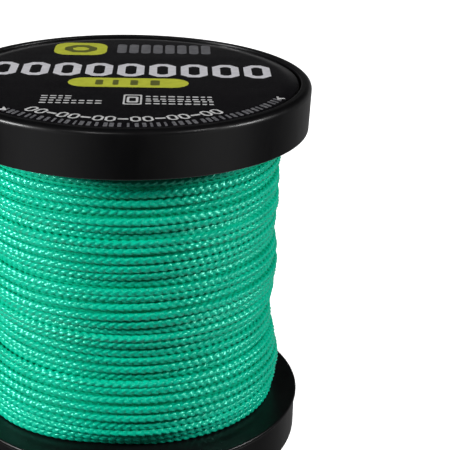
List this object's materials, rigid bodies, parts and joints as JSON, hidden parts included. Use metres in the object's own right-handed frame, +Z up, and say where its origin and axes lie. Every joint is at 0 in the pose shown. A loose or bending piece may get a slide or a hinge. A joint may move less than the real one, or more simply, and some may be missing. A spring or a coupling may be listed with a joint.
{
  "type": "cord spool",
  "caption": "Round spool with two thick closed flanges, wound full with fine braided cord and labelled on both ends.",
  "frame": {"origin": "centre of the bottom face, on the plane that the spool stands on", "axes": "+Z up along the spool's axis, from the bottom flange to the top flange; +X runs along the middle of one rib, and the front of the label faces -Y"},
  "size_m": [0.064, 0.064, 0.0676],
  "materials": {
    "black_plastic": "satin black injection-moulded plastic",
    "label_vinyl": "glossy black printed vinyl sticker with grey, white and yellow-green print",
    "core_plastic": "matte black extruded plastic tube",
    "cord_nylon": "bright green braided nylon with a soft sheen"
  },
  "bodies": {
    "root": {"bottom_flange": "black_plastic", "bottom_cover": "black_plastic", "bottom_label": "label_vinyl", "top_flange": "black_plastic", "top_cover": "black_plastic", "top_label": "label_vinyl", "core_tube": "core_plastic", "cord_winding": "cord_nylon"}
  },
  "joints": []
}
